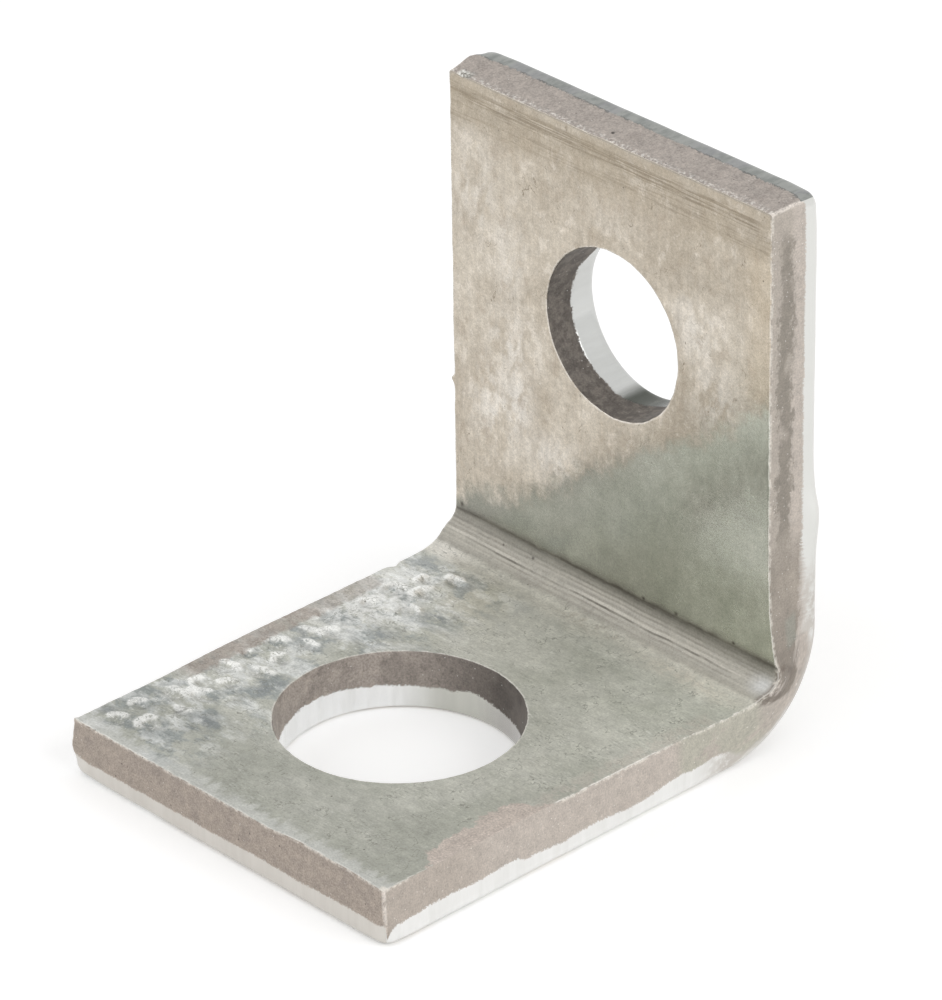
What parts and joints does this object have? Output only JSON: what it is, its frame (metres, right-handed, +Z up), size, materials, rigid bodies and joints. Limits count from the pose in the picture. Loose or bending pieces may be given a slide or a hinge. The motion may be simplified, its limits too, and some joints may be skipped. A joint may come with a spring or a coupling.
{
  "type": "angle bracket",
  "caption": "Heavy steel angle bracket bent to a right angle, with a large punched hole in its base leg and a smaller one in its upright leg.",
  "frame": {"origin": "On the underside, at the middle of the plate's width and of the base leg's length.", "axes": "+Z up, along the upright leg. +Y from the base leg's free end to the back face of the upright leg. +X along the bend."},
  "size_m": [0.0466, 0.0572, 0.0587],
  "materials": {
    "angle_bracket": "satin plated plate, tan grey faces with dark scuffs, near white polished bands along the sheared edges"
  },
  "bodies": {
    "root": {"angle_bracket": "angle_bracket"}
  },
  "joints": []
}
